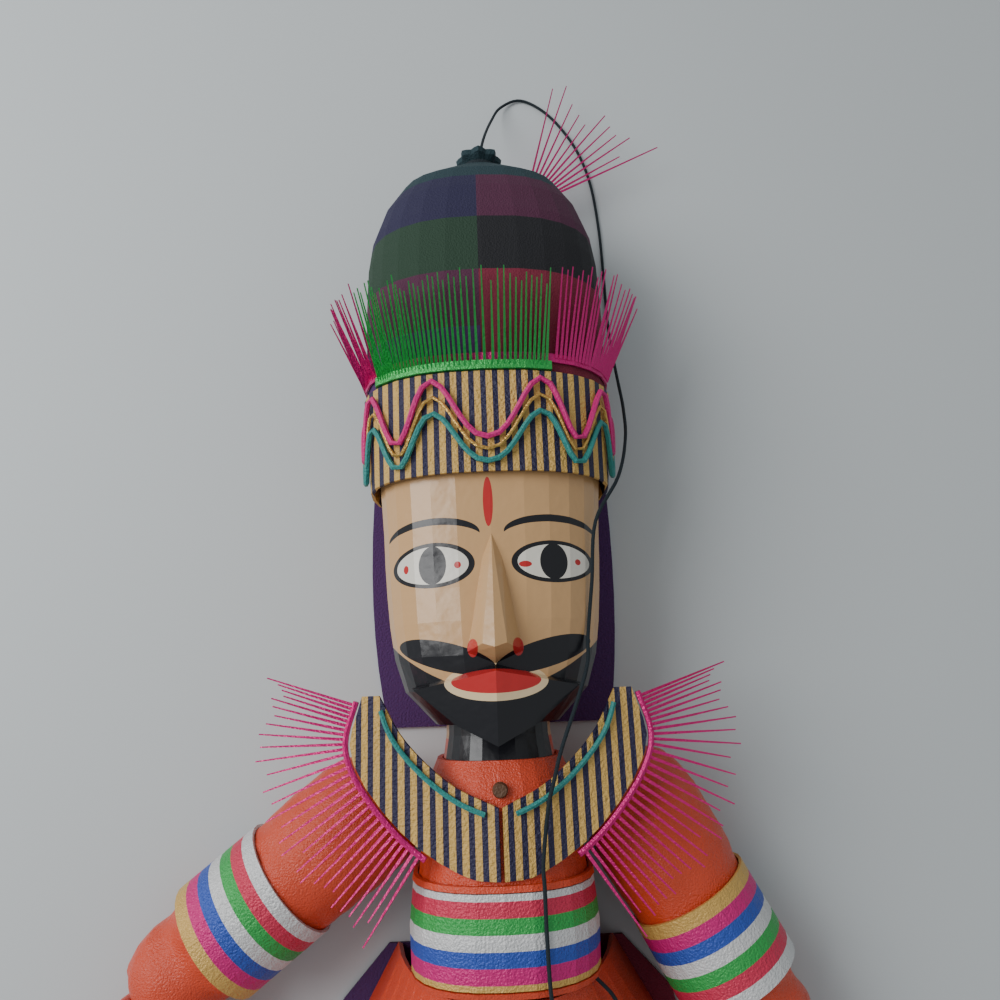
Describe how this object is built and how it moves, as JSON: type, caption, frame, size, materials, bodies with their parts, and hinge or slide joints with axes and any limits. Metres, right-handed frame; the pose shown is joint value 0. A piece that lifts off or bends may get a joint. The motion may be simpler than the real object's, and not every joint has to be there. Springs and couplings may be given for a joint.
{
  "type": "wooden string puppet",
  "caption": "Carved wooden string puppet lying on its back, with a turban, lace trim, tinsel fringes, stuffed cloth arms and a long cloth skirt.",
  "frame": {"origin": "flat of the robe's back between the arms, on the surface that the puppet lies on", "axes": "+Y from the hem to the crown, +Z out of the face, +X towards the puppet's own left"},
  "size_m": [0.2213, 0.6273, 0.0618],
  "materials": {
    "wood": "varnished paint",
    "plaid_cotton": "matt",
    "thread": "matt",
    "lace": "matt",
    "magenta_cord": "matt",
    "gold_cord": "matt",
    "teal_cord": "matt",
    "green_tinsel": "matt",
    "magenta_tinsel": "matt",
    "violet_cotton": "matt",
    "orange_satin": "satin",
    "striped_ribbon": "satin",
    "bead": "matt"
  },
  "bodies": {
    "trunk": {"head_and_bust": "wood", "turban_cap": "plaid_cotton", "turban_tie": "thread", "turban_lace": "lace", "lace_magenta_cord": "magenta_cord", "lace_gold_cord": "gold_cord", "lace_teal_cord": "teal_cord", "turban_fringe_green": "green_tinsel", "turban_fringe_magenta": "magenta_tinsel", "crown_plume": "magenta_tinsel", "head_cloth": "violet_cotton", "robe_bodice": "orange_satin", "waist_ribbon": "striped_ribbon", "waist_piping_lower": "orange_satin", "waist_piping_upper": "orange_satin", "collar_lace_left": "lace", "collar_cord_left": "teal_cord", "collar_fringe_left": "magenta_tinsel", "collar_lace_right": "lace", "collar_cord_right": "teal_cord", "collar_fringe_right": "magenta_tinsel", "collar_bead": "bead", "skirt_front": "orange_satin", "skirt_back": "plaid_cotton", "hem_ribbon": "striped_ribbon", "control_string": "thread"},
    "left_upper_arm": {"left_upper_sleeve": "orange_satin", "left_armband": "striped_ribbon"},
    "left_forearm": {"left_fore_sleeve": "orange_satin"},
    "right_upper_arm": {"right_upper_sleeve": "orange_satin", "right_armband": "striped_ribbon"},
    "right_forearm": {"right_fore_sleeve": "orange_satin"}
  },
  "joints": [
    {"name": "left_shoulder", "type": "hinge", "parent": "trunk", "child": "left_upper_arm", "pos_m": [-0.039, 0.003, 0.0174], "axis": [0, 0, -1], "range_deg": [-12, 67]},
    {"name": "right_shoulder", "type": "hinge", "parent": "trunk", "child": "right_upper_arm", "pos_m": [0.039, 0.003, 0.0174], "axis": [0, 0, 1], "range_deg": [-2, 92]},
    {"name": "left_elbow", "type": "hinge", "parent": "left_upper_arm", "child": "left_forearm", "pos_m": [-0.08692, -0.03311, 0.0174], "axis": [0, 0, -1], "range_deg": [0, 45]},
    {"name": "right_elbow", "type": "hinge", "parent": "right_upper_arm", "child": "right_forearm", "pos_m": [0.06717, -0.04998, 0.0174], "axis": [0, 0, 1], "range_deg": [0, 45]}
  ]
}
